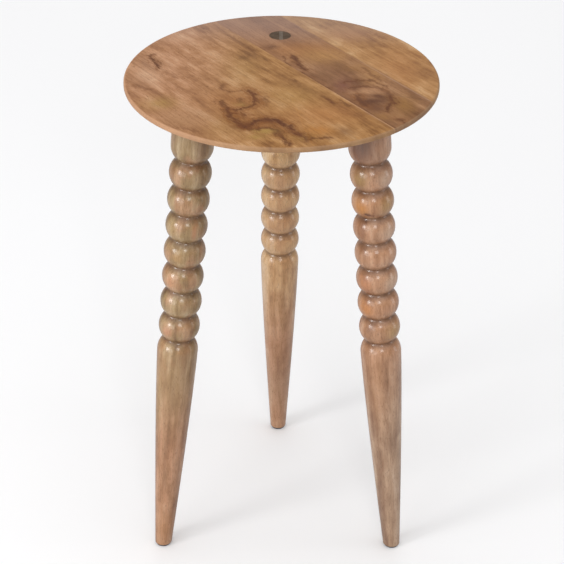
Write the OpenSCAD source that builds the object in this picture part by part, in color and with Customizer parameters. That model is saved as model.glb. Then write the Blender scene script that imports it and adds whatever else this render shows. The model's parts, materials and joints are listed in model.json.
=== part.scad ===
// Round side table on three splayed bobbin-turned legs.
// Origin: on the floor, straight below the centre of the top. +Z is up, +Y is the back leg's side.

/* [Top] */
// Height of the table's upper surface above the floor
table_h = 600; // [450:10:700]
// Diameter of the round top
top_d = 350; // [320:5:450]
// Thickness of the top at its middle
top_t = 18; // [16:1:24]
// Thickness left at the rim, after the bevel underneath
rim_t = 6; // [5:0.5:9]
// Width of the bevel underneath, measured in from the rim
bevel_w = 33; // [20:1:33]
// Radius of the upper edge of the rim
edge_upper_r = 2.5; // [1:0.5:2.5]
// Radius of the lower edge of the rim
edge_lower_r = 1.5; // [1:0.5:2]
// Direction of the boards in plan, from the +X axis
board_angle = -55; // [-90:1:0]

/* [Inset] */
// Diameter of the round metal inset
inset_d = 25.4; // [15:0.1:40]
// Thickness of the inset
inset_t = 2; // [1.5:0.1:3]
// Distance of the inset from the table's centre
inset_reach = 114; // [60:1:140]
// Sideways offset of the inset, towards +X
inset_side = -2; // [-20:1:20]
// Width of the bar that crosses the inset
bar_w = 4.6; // [2:0.1:8]
// Depth of the bar
bar_t = 0.8; // [0.4:0.1:1]
// Sideways offset of the bar on the inset
bar_side = 1.2; // [-3:0.1:3]

/* [Legs] */
// Distance of each leg's axis from the centre, where it meets the underside of the top
leg_reach = 108.8; // [90:0.1:108.8]
// Angle of each leg's axis from upright
splay = 5.5; // [2:0.1:5.5]
// Largest diameter of the turning
leg_d = 47.8; // [40:0.2:50]
// Number of beads on each leg
beads = 7; // [3:1:9]
// Distance from one bead to the next
bead_pitch = 32.6; // [31:0.1:34]
// Distance along the axis from the underside of the top to the first groove
collar_len = 55.9; // [45:0.1:70]
// How far the centre of a bead's arc lies outside the leg's axis
bead_arc_off = 2.6; // [1:0.1:4]
// Diameter of the foot at the floor
foot_d = 19.6; // [16:0.1:19.6]

/* [Hardware] */
// Side of the square leg plate
plate_w = 56; // [50:1:58]
// Thickness of the flat of the leg plate
plate_t = 2.5; // [2:0.1:3]
// Diameter of the angled seat under the plate
seat_d = 40; // [30:1:44]
// Distance along the leg's axis from the top's underside to the leg's end
seat_s = 5.5; // [5:0.1:7]
// Diameter of the hanger bolt, nominally 8
bolt_d = 7.9; // [5.8:0.1:8]
// Length of the hanger bolt above the leg's end
bolt_up = 12.5; // [8:0.5:13]
// Length of the hanger bolt inside the leg
bolt_in = 42; // [25:1:60]
// Thickness of the felt pad under each foot
pad_t = 3; // [1:0.5:4]
// Diameter of the felt pad
pad_d = 18; // [14:0.1:18.6]

/* [Hidden] */
$fn = 96;

left_az = -150;
right_az = -30;
back_az = 90;
leg_azimuths = [left_az, right_az, back_az];

// how far a cutting shape reaches past what it cuts
past = 1;

top_r = top_d / 2;
under_z = table_h - top_t;
// seams between the boards: distance of each from the centre, towards the back right
seams = [-top_r - past, -70, 24, 98, top_r + past];

leg_r = leg_d / 2;
bead_arc_r = leg_r - bead_arc_off;
groove_r = bead_arc_off + sqrt(pow(bead_arc_r, 2) - pow(bead_pitch / 2, 2));
last_groove_s = collar_len + beads * bead_pitch;
shoulder_s = last_groove_s + bead_pitch / 2;
floor_s = under_z / cos(splay);
// how much longer than needed the foot is turned, before it is cut level
foot_spare = 5;
// flats that ease each edge of the rim
edge_steps = 3;
// how the foot's taper bends: 1 is straight, more is fuller near the shoulder
taper_bend = 1.25;
taper_steps = 20;
leg_end_chamfer = 1;
// block that cuts the feet level
level_block_h = 40;

bolt_r = bolt_d / 2;
bolt_fit = 0.05;
bolt_bore_r = bolt_r + bolt_fit;
bolt_chamfer = 1;
bolt_tip = 5;
// how much deeper than the bolt its bore in the leg is
bore_spare = 0.5;
boss_r = 6.5;
boss_up = 9;
boss_clearance = 0.5;
plate_corner_r = 6;
screw_edge = 7;
screw_pos = plate_w / 2 - screw_edge;
screw_len = 13;
screw_r = 1.75;
screw_head_r = 3.6;
screw_head_h = 1.9;
screw_head_rim = 0.3;
screw_tip = 3.5;
slot_w = 0.9;
slot_len = 4.5;
slot_depth = 1.1;
wood = [0.68, 0.50, 0.36];
steel = [0.72, 0.72, 0.74];

// ---------- placing ----------

// puts its children in a leg's own frame: +Z runs down along the leg's axis from the top's underside
module along_leg(azimuth) {
    rotate([0, 0, azimuth])
        translate([leg_reach, 0, under_z])
            rotate([0, 180 - splay, 0])
                children();
}

// puts its children on the underside of the top, upright, where a leg's axis meets it
module under_top(azimuth) {
    rotate([0, 0, azimuth])
        translate([leg_reach, 0, under_z])
            children();
}

// ---------- top ----------

// points of an arc about centre, from one angle to another
function arc(centre, r, from, to, steps) =
    [for (i = [0 : steps]) centre + r * [cos(from + (to - from) * i / steps),
                                         sin(from + (to - from) * i / steps)]];

// outline of half the top: flat above, bevelled below, both rim edges eased in a few narrow flats
module top_outline() {
    low = [top_r - edge_lower_r, table_h - rim_t + edge_lower_r];
    high = [top_r - edge_upper_r, table_h - edge_upper_r];
    bevel_in = [top_r - bevel_w, under_z];
    run = low - bevel_in;
    bevel = atan2(run[1], run[0]) - asin(edge_lower_r / norm(run));
    polygon(concat([[0, under_z], bevel_in],
                   arc(low, edge_lower_r, bevel - 90, 0, edge_steps),
                   arc(high, edge_upper_r, 0, 90, edge_steps),
                   [[0, table_h]]));
}

// one board of the glued-up top, between two seams
module board(i) {
    difference() {
        rotate([0, 0, board_angle])
            intersection() {
                rotate_extrude() top_outline();
                translate([-top_d, seams[i], under_z - past])
                    cube([2 * top_d, seams[i + 1] - seams[i], top_t + 2 * past]);
            }
        inset_place() cylinder(r = inset_d / 2, h = inset_t + past);
        for (azimuth = leg_azimuths) {
            along_leg(azimuth)
                translate([0, 0, -boss_up - boss_clearance])
                    cylinder(r = boss_r + boss_clearance, h = boss_up + seat_s);
            four_screws(azimuth, slotted = false);
        }
    }
}

module top_board_1() { color(wood) board(0); }
module top_board_2() { color(wood) board(1); }
module top_board_3() { color([0.60, 0.42, 0.30]) board(2); }
module top_board_4() { color(wood) board(3); }

// ---------- inset ----------

// puts its children at the centre of the inset's underside
module inset_place() {
    translate([inset_side, inset_reach, table_h - inset_t]) children();
}

// the bar's shape, a little longer than the disc is wide until it is trimmed
module bar_solid() {
    translate([bar_side - bar_w / 2, -inset_d, inset_t - bar_t])
        cube([bar_w, 2 * inset_d, bar_t]);
}

module inset_disc() {
    color([0.30, 0.26, 0.23])
        inset_place()
            difference() {
                cylinder(r = inset_d / 2, h = inset_t);
                bar_solid();
            }
}

module inset_bar() {
    color([0.50, 0.45, 0.40])
        inset_place()
            intersection() {
                cylinder(r = inset_d / 2, h = inset_t);
                bar_solid();
            }
}

// ---------- hardware under the top ----------

// steel plate with an angled seat for the leg and a threaded boss let into the top
module leg_plate(azimuth) {
    difference() {
        union() {
            under_top(azimuth)
                translate([0, 0, -plate_t])
                    linear_extrude(plate_t)
                        plate_outline();
            difference() {
                along_leg(azimuth) cylinder(r = seat_d / 2, h = seat_s);
                under_top(azimuth)
                    translate([-plate_w, -plate_w, -plate_t / 2])
                        cube([2 * plate_w, 2 * plate_w, top_t]);
            }
            along_leg(azimuth)
                translate([0, 0, -boss_up])
                    cylinder(r = boss_r, h = boss_up + plate_t / 2);
        }
        along_leg(azimuth)
            translate([0, 0, -boss_up - past])
                cylinder(r = bolt_bore_r, h = boss_up + seat_s + 2 * past);
        four_screws(azimuth, slotted = false);
    }
}

// square with round corners
module plate_outline() {
    inner = plate_w / 2 - plate_corner_r;
    square([plate_w, 2 * inner], center = true);
    square([2 * inner, plate_w], center = true);
    for (x = [-inner, inner], y = [-inner, inner])
        translate([x, y]) circle(r = plate_corner_r);
}

// countersunk wood screw, head down, flush with the plate
module wood_screw(slotted) {
    difference() {
        rotate_extrude()
            polygon([[0, 0], [screw_head_r, 0], [screw_head_r, screw_head_rim], [screw_r, screw_head_h],
                     [screw_r, screw_len - screw_tip], [0, screw_len]]);
        if (slotted)
            for (turn = [0, 90])
                rotate([0, 0, turn])
                    translate([-slot_len / 2, -slot_w / 2, -past])
                        cube([slot_len, slot_w, slot_depth + past]);
    }
}

module four_screws(azimuth, slotted) {
    under_top(azimuth)
        for (x = [-screw_pos, screw_pos], y = [-screw_pos, screw_pos])
            translate([x, y, -plate_t]) wood_screw(slotted);
}

// bolt that is screwed for good into the leg's end, its free end threads into the plate
module hanger_bolt(azimuth) {
    along_leg(azimuth)
        translate([0, 0, seat_s])
            rotate_extrude()
                polygon([[0, -bolt_up], [bolt_r - bolt_chamfer, -bolt_up], [bolt_r, bolt_chamfer - bolt_up],
                         [bolt_r, bolt_in], [0, bolt_in + bolt_tip]]);
}

module left_leg_plate() { color(steel) leg_plate(left_az); }
module right_leg_plate() { color(steel) leg_plate(right_az); }
module back_leg_plate() { color(steel) leg_plate(back_az); }

module left_plate_screws() { color(steel) four_screws(left_az, slotted = true); }
module right_plate_screws() { color(steel) four_screws(right_az, slotted = true); }
module back_plate_screws() { color(steel) four_screws(back_az, slotted = true); }

module left_hanger_bolt() { color(steel) hanger_bolt(left_az); }
module right_hanger_bolt() { color(steel) hanger_bolt(right_az); }
module back_hanger_bolt() { color(steel) hanger_bolt(back_az); }

// ---------- legs ----------

// radius of the foot at a share of its length below the shoulder, 0 to 1
function taper_r(share) = leg_r - (leg_r - foot_d / 2) * pow(share, taper_bend);

// half outline of one round swelling of the turning, between its two grooves
module bead_outline() {
    intersection() {
        translate([bead_arc_off, 0]) circle(r = bead_arc_r);
        translate([0, -bead_pitch / 2]) square([leg_r + past, bead_pitch]);
    }
}

// half outline of the whole turning, down the leg's axis
module leg_outline() {
    collar_s = collar_len - bead_pitch / 2;
    foot_len = floor_s + foot_spare - shoulder_s;
    polygon([[0, seat_s], [leg_r - leg_end_chamfer, seat_s], [leg_r, seat_s + leg_end_chamfer],
             [leg_r, collar_s], [0, collar_s]]);
    for (i = [0 : beads + 1])
        translate([0, collar_s + i * bead_pitch]) bead_outline();
    polygon(concat([[0, shoulder_s]],
                   [for (i = [0 : taper_steps])
                       [taper_r(i / taper_steps), shoulder_s + foot_len * i / taper_steps]],
                   [[0, floor_s + foot_spare]]));
}

// one turned leg, bored for its bolt and cut level where the pad goes
module leg(azimuth) {
    difference() {
        along_leg(azimuth) rotate_extrude() leg_outline();
        along_leg(azimuth)
            translate([0, 0, seat_s])
                rotate_extrude()
                    polygon([[0, -past], [bolt_bore_r, -past], [bolt_bore_r, bolt_in + bore_spare],
                             [0, bolt_in + bolt_tip + 2 * bore_spare]]);
        translate([-top_d, -top_d, pad_t - level_block_h]) cube([2 * top_d, 2 * top_d, level_block_h]);
    }
}

// felt pad, level on the floor
module foot_pad(azimuth) {
    rotate([0, 0, azimuth])
        translate([leg_reach + tan(splay) * (under_z - pad_t), 0, 0])
            cylinder(r = pad_d / 2, h = pad_t);
}

module left_leg() { color([0.72, 0.54, 0.40]) leg(left_az); }
module right_leg() { color([0.72, 0.54, 0.40]) leg(right_az); }
module back_leg() { color([0.72, 0.54, 0.40]) leg(back_az); }

module left_foot_pad() { color("dimgray") foot_pad(left_az); }
module right_foot_pad() { color("dimgray") foot_pad(right_az); }
module back_foot_pad() { color("dimgray") foot_pad(back_az); }

top_board_1();
top_board_2();
top_board_3();
top_board_4();
inset_disc();
inset_bar();
left_leg_plate();
right_leg_plate();
back_leg_plate();
left_plate_screws();
right_plate_screws();
back_plate_screws();
left_hanger_bolt();
right_hanger_bolt();
back_hanger_bolt();
left_leg();
right_leg();
back_leg();
left_foot_pad();
right_foot_pad();
back_foot_pad();
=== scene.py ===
"""Round side table on three bobbin-turned legs: the looks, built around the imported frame."""

import json
import math
import random

import bmesh
import bpy
from mathutils import Matrix, Vector


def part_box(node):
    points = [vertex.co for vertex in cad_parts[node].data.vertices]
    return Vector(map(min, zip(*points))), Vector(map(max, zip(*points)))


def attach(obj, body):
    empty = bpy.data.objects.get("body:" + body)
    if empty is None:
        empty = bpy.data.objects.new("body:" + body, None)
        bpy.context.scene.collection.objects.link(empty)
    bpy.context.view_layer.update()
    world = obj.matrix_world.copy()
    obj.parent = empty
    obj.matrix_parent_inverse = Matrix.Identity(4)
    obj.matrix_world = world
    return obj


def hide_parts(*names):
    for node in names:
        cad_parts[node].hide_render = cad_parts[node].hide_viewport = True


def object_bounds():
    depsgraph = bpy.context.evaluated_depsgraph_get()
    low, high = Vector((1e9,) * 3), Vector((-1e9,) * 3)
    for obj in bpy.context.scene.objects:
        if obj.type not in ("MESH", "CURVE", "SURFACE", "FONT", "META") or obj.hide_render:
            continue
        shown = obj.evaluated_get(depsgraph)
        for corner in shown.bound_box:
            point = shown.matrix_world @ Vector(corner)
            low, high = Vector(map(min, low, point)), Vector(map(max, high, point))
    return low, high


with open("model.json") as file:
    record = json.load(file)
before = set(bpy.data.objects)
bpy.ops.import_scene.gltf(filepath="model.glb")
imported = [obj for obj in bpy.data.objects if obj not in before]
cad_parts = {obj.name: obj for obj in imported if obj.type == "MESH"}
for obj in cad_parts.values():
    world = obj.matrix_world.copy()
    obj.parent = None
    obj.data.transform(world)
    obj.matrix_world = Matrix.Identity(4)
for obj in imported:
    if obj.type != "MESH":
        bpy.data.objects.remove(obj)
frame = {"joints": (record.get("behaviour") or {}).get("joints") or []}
cad_low, cad_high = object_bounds()

MM = 0.001
LEGS = ("left", "right", "back")

# ---------- measures read from the frame ----------

BOARDS = ["top_board_1", "top_board_2", "top_board_3", "top_board_4"]
INSET_BOARD = "top_board_3"
TABLE_H = cad_high.z
TOP_R = cad_high.x
UNDER_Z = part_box("top_board_2")[0].z
INSET_LOW, INSET_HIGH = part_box("inset_disc")
PAD_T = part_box("back_foot_pad")[1].z
PAD_R = (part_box("back_foot_pad")[1].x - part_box("back_foot_pad")[0].x) / 2
PLATE_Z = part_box("back_plate_screws")[0].z
JOINTS = {joint["name"]: joint for joint in frame["joints"]}

# ---------- measures repeated from the part's source, in metres ----------

RIM_T = 6 * MM
BEVEL_W = 33 * MM
EDGE_UPPER_R = 2.5 * MM
EDGE_LOWER_R = 1.5 * MM
BOARD_ANGLE = math.radians(-55)
SEAMS = [-70 * MM, 24 * MM, 98 * MM]

LEG_R = 23.9 * MM
BEADS = 7
BEAD_PITCH = 32.6 * MM
COLLAR_LEN = 55.9 * MM
BEADS_END = COLLAR_LEN + BEADS * BEAD_PITCH
BEAD_ARC_OFF = 2.6 * MM
BEAD_ARC_R = LEG_R - BEAD_ARC_OFF
LEG_TOP_S = 5.5 * MM
FOOT_R = 9.8 * MM
TAPER_BEND = 1.25

PLATE_W = 56 * MM
PLATE_CORNER_R = 6 * MM
SEAT_R = 20 * MM
BOLT_R = 3.95 * MM
BORE_R = 4.0 * MM
BOLT_TOP_S = -7 * MM
BOLT_TAPER_S = 47.5 * MM
BOLT_END_S = 52.5 * MM
BOLT_PITCH = 1.25 * MM
BOSS_R = 6.5 * MM
BOSS_TOP_S = -9 * MM
SCREW_OFFSET = 21 * MM
SCREW_LEN = 13 * MM
SCREW_R = 1.75 * MM
SCREW_HEAD_R = 3.6 * MM
SCREW_HEAD_H = 1.9 * MM
INSET_BAR_W = 4.6 * MM
INSET_BAR_T = 0.8 * MM
INSET_BAR_SIDE = 1.2 * MM

# ---------- measures of the visual model alone ----------

# how far a cutter reaches past what it cuts
PAST = 3 * MM
SEAM_EASE = 0.1 * MM
POCKET_GAP = 0.5 * MM
COLLAR_EDGE_R = 1 * MM
GROOVE_HALF = 0.35 * MM
# how much longer a leg is made than it is, before its foot is cut level
FOOT_SPARE = 5 * MM
PLATE_EASE = 0.5 * MM
SEAT_EDGE_R = 0.8 * MM
BOSS_EASE = 0.5 * MM
SCREW_GAP = 0.06 * MM
SINK_EDGE = 0.3 * MM
SCREW_PITCH = 1.6 * MM
SCREW_THREAD = 0.5 * MM
SCREW_TIP = 3.5 * MM
BOLT_THREAD = 0.68 * MM
BOLT_NECK_R = BOLT_R - 0.4 * MM
WOOD_PITCH = 3 * MM
WOOD_THREAD = 0.9 * MM
INSET_GAP = 0.06 * MM
INSET_EDGE_R = 0.3 * MM
TOP_STEPS = 288
INSET_STEPS = 128
BAR_STEPS = 14
LEG_STEPS = 80
TAPER_STEPS = 40
SCREW_STEPS = 24
BOLT_STEPS = 32


# ---------- wiring materials ----------

def linear(red, green, blue):
    """A colour given as 0-255 screen values, as the linear RGBA that the shaders take."""
    parts = [value / 255 for value in (red, green, blue)]
    parts = [p / 12.92 if p <= 0.04045 else ((p + 0.055) / 1.055) ** 2.4 for p in parts]
    return (*parts, 1.0)


class Wiring:
    """Short calls that add and join the nodes of one tree."""

    def __init__(self, tree):
        self.tree = tree

    def feed(self, socket, value):
        if isinstance(value, bpy.types.NodeSocket):
            self.tree.links.new(value, socket)
        else:
            socket.default_value = value

    def put(self, kind, sockets=None, **settings):
        node = self.tree.nodes.new(kind)
        for key, value in settings.items():
            setattr(node, key, value)
        for key, value in (sockets or {}).items():
            self.feed(node.inputs[key], value)
        return node

    def place(self):
        return self.put("ShaderNodeTexCoord").outputs["Object"]

    def math(self, operation, *values, clamp=False):
        node = self.put("ShaderNodeMath", operation=operation, use_clamp=clamp)
        for socket, value in zip(node.inputs, values):
            self.feed(socket, value)
        return node.outputs[0]

    def chain(self, operation, total, *values):
        for value in values:
            total = self.math(operation, total, value)
        return total

    def add(self, *values):
        return self.chain("ADD", *values)

    def times(self, *values):
        return self.chain("MULTIPLY", *values)

    def least(self, *values):
        return self.chain("MINIMUM", *values)

    def span(self, value, low, high, to_low=0.0, to_high=1.0, smooth=False):
        """value, taken from low..high to to_low..to_high and held there outside."""
        kind = "SMOOTHSTEP" if smooth else "LINEAR"
        node = self.put("ShaderNodeMapRange", interpolation_type=kind, clamp=True)
        for key, number in (("Value", value), ("From Min", low), ("From Max", high),
                            ("To Min", to_low), ("To Max", to_high)):
            self.feed(node.inputs[key], number)
        return node.outputs[0]

    def vector(self, x, y, z):
        return self.put("ShaderNodeCombineXYZ", {"X": x, "Y": y, "Z": z}).outputs[0]

    def vectors(self, operation, *values, **named):
        node = self.put("ShaderNodeVectorMath", operation=operation)
        for socket, value in zip(node.inputs, values):
            self.feed(socket, value)
        for key, value in named.items():
            self.feed(node.inputs[key], value)
        return node.outputs["Value" if operation in ("DOT_PRODUCT", "DISTANCE") else "Vector"]

    def parts(self, vector):
        return self.put("ShaderNodeSeparateXYZ", {"Vector": vector}).outputs

    def noise(self, vector, scale, detail, roughness=0.5, output="Fac"):
        sockets = {"Vector": vector, "Scale": scale, "Detail": detail, "Roughness": roughness}
        return self.put("ShaderNodeTexNoise", sockets).outputs[output]

    def noise_1d(self, value, scale, detail, roughness):
        sockets = {"W": value, "Scale": scale, "Detail": detail, "Roughness": roughness}
        return self.put("ShaderNodeTexNoise", sockets, noise_dimensions="1D").outputs["Fac"]

    def mix(self, share, one, other):
        node = self.put("ShaderNodeMix", data_type="RGBA")
        self.feed(node.inputs["Factor"], share)
        self.feed(node.inputs[6], one)
        self.feed(node.inputs[7], other)
        return node.outputs[2]

    def ramp(self, value, stops):
        node = self.put("ShaderNodeValToRGB", {"Fac": value})
        elements = node.color_ramp.elements
        for index, (place, colour) in enumerate(stops):
            element = elements[index] if index < 2 else elements.new(place)
            element.position = place
            element.color = colour
        return node.outputs["Color"]

    def bump(self, height, distance, strength=0.5):
        sockets = {"Height": height, "Distance": distance, "Strength": strength}
        return self.put("ShaderNodeBump", sockets).outputs["Normal"]

    def worn_edge(self, sharpest):
        """0 on flats, 1 along edges that turn the surface as much as sharpest says."""
        rounded = self.put("ShaderNodeBevel", {"Radius": 0.5 * MM}).outputs[0]
        flat = self.put("ShaderNodeNewGeometry").outputs["True Normal"]
        return self.span(self.vectors("DOT_PRODUCT", rounded, flat), 0.97, sharpest)


def new_material(name):
    """A material with only a Principled shader, with its wiring and that shader."""
    material = bpy.data.materials.new(name)
    material.use_nodes = True
    shader = material.node_tree.nodes["Principled BSDF"]
    return material, Wiring(material.node_tree), shader


# ---------- wood ----------

INK = linear(84, 38, 0)
CHESTNUT = linear(130, 74, 18)
# The brown of the wood's pores, also laid in the legs' grooves as painted shade.
PORE_AND_GROOVE_SHADE_BROWN = linear(84, 50, 24)
STRAW = linear(166, 130, 66)
APRICOT = linear(178, 120, 66)
BLUSH = linear(196, 156, 124)
RIM_HIGHLIGHT_TAN = linear(158, 128, 100)
PAINTED_REFLECTION_GREY = linear(154, 148, 152)
# A thin wash of this white is laid over the boards and the legs as a painted sheen.
PAINTED_SHEEN_WHITE = linear(255, 255, 255)
# dark, middle, light and pale tones of each kind of wood, and their places on its ramp
TAN = (linear(108, 62, 20), linear(156, 109, 56), linear(176, 128, 74), linear(198, 154, 104))
AMBER = (linear(122, 76, 36), linear(166, 119, 68), linear(184, 137, 86), linear(204, 162, 114))
UMBER = (linear(96, 56, 28), linear(126, 84, 50), linear(148, 104, 67), linear(170, 125, 86))
ROSE = (linear(134, 86, 54), linear(172, 122, 84), linear(192, 142, 106), linear(210, 166, 132))
OLIVE = (linear(118, 90, 52), linear(158, 128, 84), linear(182, 154, 114), linear(204, 182, 148))
# HONEY is the back leg's own wood colour, made paler as painted light on that leg's beads.
HONEY = (linear(146, 106, 62), linear(200, 154, 100), linear(224, 184, 130), linear(238, 208, 166))
TAUPE = (linear(124, 90, 66), linear(160, 126, 98), linear(184, 150, 120), linear(204, 174, 148))
TONE_PLACES = (0.24, 0.43, 0.56, 0.72)
# how wide a stroke is, in millimetres, that has rings beside it
RINGED_FROM = 3.3
# over how many millimetres a glue line comes into view along the grain
SEAM_FADE = 45


def band(wire, value, middle, width):
    """1 where value is at the middle, falling smoothly to 0 over the width, both in millimetres."""
    gap = wire.times(wire.math("SUBTRACT", value, middle * MM), 1 / (width * MM))
    return wire.math("EXPONENT", wire.times(gap, gap, -1.0))


def spot(wire, x, y, place, size):
    """1 at a place in x and y, falling smoothly to 0 over its size in each."""
    return wire.times(band(wire, x, place[0], size[0]), band(wire, y, place[1], size[1]))


def spotted(wire, colour, at, spots, shown):
    """A colour with soft spots of other colours over it."""
    x, y = wire.parts(at)[:2]
    for place, size, tint, strength in spots:
        colour = wire.mix(wire.times(spot(wire, x, y, place, size), shown, strength), colour, tint)
    return colour


def gap_to(wire, at, points):
    """How far a place is from a line through points given in millimetres."""
    gaps = []
    for start, end in zip(points, points[1:]):
        first = Vector((*start, 0)) * MM
        run = Vector((*end, 0)) * MM - first
        offset = wire.vectors("SUBTRACT", at, first)
        along = wire.math("MULTIPLY", wire.vectors("DOT_PRODUCT", offset, run), 1 / run.length_squared,
                          clamp=True)
        gaps.append(wire.vectors("DISTANCE", offset, wire.vectors("SCALE", run, Scale=along)))
    return wire.least(*gaps)


def stretched(wire, grain, along, across, seed):
    """A place in the wood, scaled along the grain and across it, and moved by the seed."""
    u, v, w = grain
    return wire.vector(wire.times(u, along), wire.times(v, across),
                       wire.add(wire.times(w, across), seed))


def ring_field(wire, grain, seed, wander_by, knots):
    """A field whose contours are the growth rings: it rises across the grain, and round knots."""
    u, v, w = grain
    wander = wire.math("SUBTRACT", wire.noise(stretched(wire, grain, 6.0, 15.0, seed), 1.0, 2.0), 0.5)
    ripple = wire.math("SUBTRACT", wire.noise(stretched(wire, grain, 40.0, 90.0, seed), 1.0, 3.0), 0.5)
    field = wire.add(v, wire.times(w, 0.8), wire.times(wander, wander_by), wire.times(ripple, 8 * MM))
    for place, size, lift in knots:
        field = wire.add(field, wire.times(spot(wire, u, v, place, size), lift * MM))
    return field


def streaked(wire, colour, grain, at, seed, fibre, strokes, crowd, shown):
    """A colour with the dark lines of a knot over it, and thin rings beside the widest of them."""
    blotch = wire.noise(stretched(wire, grain, 120.0, 260.0, seed + 2.0), 1.0, 3.0, 0.6)
    thin = wire.add(wire.span(blotch, 0.35, 0.65, 0.35, 1.9), wire.times(fibre, 0.8))
    patchy = wire.span(wire.noise(stretched(wire, grain, 70.0, 150.0, seed + 6.0), 1.0, 3.0, 0.6),
                       0.34, 0.50, 0.5, 1.0)
    gaps = [gap_to(wire, at, points) for points, width, strength in strokes]
    knotty = [gap for gap, (points, width, strength) in zip(gaps, strokes) if width >= RINGED_FROM]
    if knotty:
        nearest = wire.least(*knotty)
        rings_at = wire.add(nearest, seed, wire.times(blotch, 12 * MM))
        lines = wire.span(wire.noise_1d(rings_at, 260.0, 2.0, 0.5), 0.44, 0.58)
        share = wire.times(lines, band(wire, nearest, 0, crowd), shown, patchy, 0.7)
        colour = wire.mix(share, colour, CHESTNUT)
    for gap, (points, width, strength) in zip(gaps, strokes):
        gap_here = wire.times(gap, thin)
        halo = wire.times(band(wire, gap_here, 0, 2.6 * width), shown, 0.5 * strength)
        colour = wire.mix(halo, colour, CHESTNUT)
        core = wire.times(band(wire, gap_here, 0, 1.4 * width), shown, patchy, 0.9 * strength)
        colour = wire.mix(core, colour, INK)
    return colour


def wood(wire, shader, grain, flat, *, seed, tones, other_tones, other_share, figure, streak, gloss,
         ring_scale=24.0, wander_by=30 * MM, crowd=12.0, sway_by=18.0, shown=1.0, knots=(), spots=(),
         strokes=(), late_spots=(), seams=(), overlays=(), gloss_rough=0.2, rough=0.40,
         specular=0.35):
    """Oiled mango wood. grain is u along it, v across the face and w through it, in metres.

    Its colours follow the growth rings as strongly as the figure says, and for the rest a mottle
    that streak draws out along the grain. Millimetres place what is seen in one piece of wood:
    knots by (u, v), (length, width), lift. Spots by (x, y), (width, height), tint, strength.
    Strokes by points, width, strength. Late spots as spots, but over the strokes. Seams by v,
    width, tint, strength, and the u from which they show. Spots and strokes lie in flat's own x
    and y, are bent by sway_by, and show only where shown is 1. Rings crowd the wide strokes as
    far off as crowd. Overlays are (share, tint) over all of it."""
    fibre = wire.noise(stretched(wire, grain, 16.0, 520.0, seed), 1.0, 3.0, 0.65)
    pores = wire.span(wire.noise(stretched(wire, grain, 190.0, 1700.0, seed), 1.0, 1.0), 0.62, 0.70)
    mottle = wire.noise(stretched(wire, grain, 32.0 / streak, 48.0 * streak, seed + 4.0), 1.0, 5.0, 0.62)
    flame = wire.noise(stretched(wire, grain, 95.0 / streak, 30.0 * streak, seed + 8.0), 1.0, 2.0, 0.5)
    field = ring_field(wire, grain, seed, wander_by, knots)
    rings = wire.span(wire.noise_1d(wire.add(field, seed), ring_scale, 4.0, 0.6), 0.30, 0.70)
    tone = wire.add(wire.times(rings, figure), wire.times(mottle, 1.1 - figure), wire.times(flame, 0.3),
                    -0.2)
    colour = wire.ramp(tone, list(zip(TONE_PLACES, tones)))
    colour = wire.mix(other_share, colour, wire.ramp(tone, list(zip(TONE_PLACES, other_tones))))

    x, y = wire.parts(flat)[:2]
    sway = wire.noise(stretched(wire, grain, 60.0, 110.0, seed), 1.0, 5.0, 0.66, "Color")
    sway = wire.vectors("SCALE", wire.vectors("SUBTRACT", sway, (0.5, 0.5, 0.5)), Scale=sway_by * MM)
    at = wire.vectors("ADD", wire.vector(x, y, 0.0), wire.vectors("MULTIPLY", sway, (1, 1, 0)))
    colour = spotted(wire, colour, at, spots, shown)
    colour = streaked(wire, colour, grain, at, seed, fibre, strokes, crowd, shown)
    colour = spotted(wire, colour, at, late_spots, shown)

    colour = wire.mix(wire.span(fibre, 0.42, 0.72, 0.0, 0.34), colour, tones[0])
    colour = wire.mix(wire.times(pores, 0.45), colour, PORE_AND_GROOVE_SHADE_BROWN)
    for middle, width, tint, strength, start in seams:
        faint = wire.span(grain[0], start * MM, (start + SEAM_FADE) * MM, 0.25, 1.0)
        share = wire.times(band(wire, grain[1], middle, width), faint, strength)
        colour = wire.mix(share, colour, tint)
    for share, tint in overlays:
        colour = wire.mix(share, colour, tint)

    wire.feed(shader.inputs["Base Color"], colour)
    wire.feed(shader.inputs["Roughness"],
              wire.add(rough, wire.times(fibre, 0.10), wire.times(pores, 0.2), wire.times(mottle, 0.08)))
    height = wire.add(wire.times(fibre, 0.35), wire.times(pores, -1.0), wire.times(mottle, 0.5))
    wire.feed(shader.inputs["Normal"], wire.bump(height, 0.07 * MM))
    shader.inputs["Coat Weight"].default_value = gloss
    shader.inputs["Coat Roughness"].default_value = gloss_rough
    shader.inputs["Specular IOR Level"].default_value = specular


# What is seen in each board: the two front ones are alike. Knots are placed along and across the
# grain, everything else in plan: +X to the right and +Y to the back, from the table's centre.
FRONT_KNOTS = [
    ((100, -94), (26, 17), 34), ((58, -98), (30, 10), -16),
    ((12, -66), (24, 14), 20), ((-10, -60), (20, 9), -12),
]
FRONT_SPOTS = [
    ((-40, -62), (18, 20), CHESTNUT, 0.45), ((-50, -98), (12, 16), CHESTNUT, 0.5),
    ((-20, -116), (32, 16), CHESTNUT, 0.45), ((45, -95), (40, 26), APRICOT, 0.6),
    ((10, -50), (26, 26), STRAW, 0.30), ((-52, -75), (30, 34), APRICOT, 0.45),
    ((-44, 20), (20, 44), STRAW, 0.30), ((-60, -128), (22, 34), STRAW, 0.30),
    ((-130, -72), (18, 16), STRAW, 0.65), ((-104, -110), (30, 28), UMBER[3], 0.85),
    ((-150, 10), (18, 40), BLUSH, 0.35), ((-40, -124), (11, 9), INK, 0.95),
    ((-12, -113), (12, 7), INK, 0.8), ((-17, -136), (11, 5), STRAW, 0.9),
    ((-26, -150), (9, 6), STRAW, 0.6), ((66, -136), (9, 11), UMBER[0], 0.5),
    ((40, -134), (14, 12), linear(186, 122, 52), 0.6), ((22, -150), (12, 8), STRAW, 0.5),
]
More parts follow.
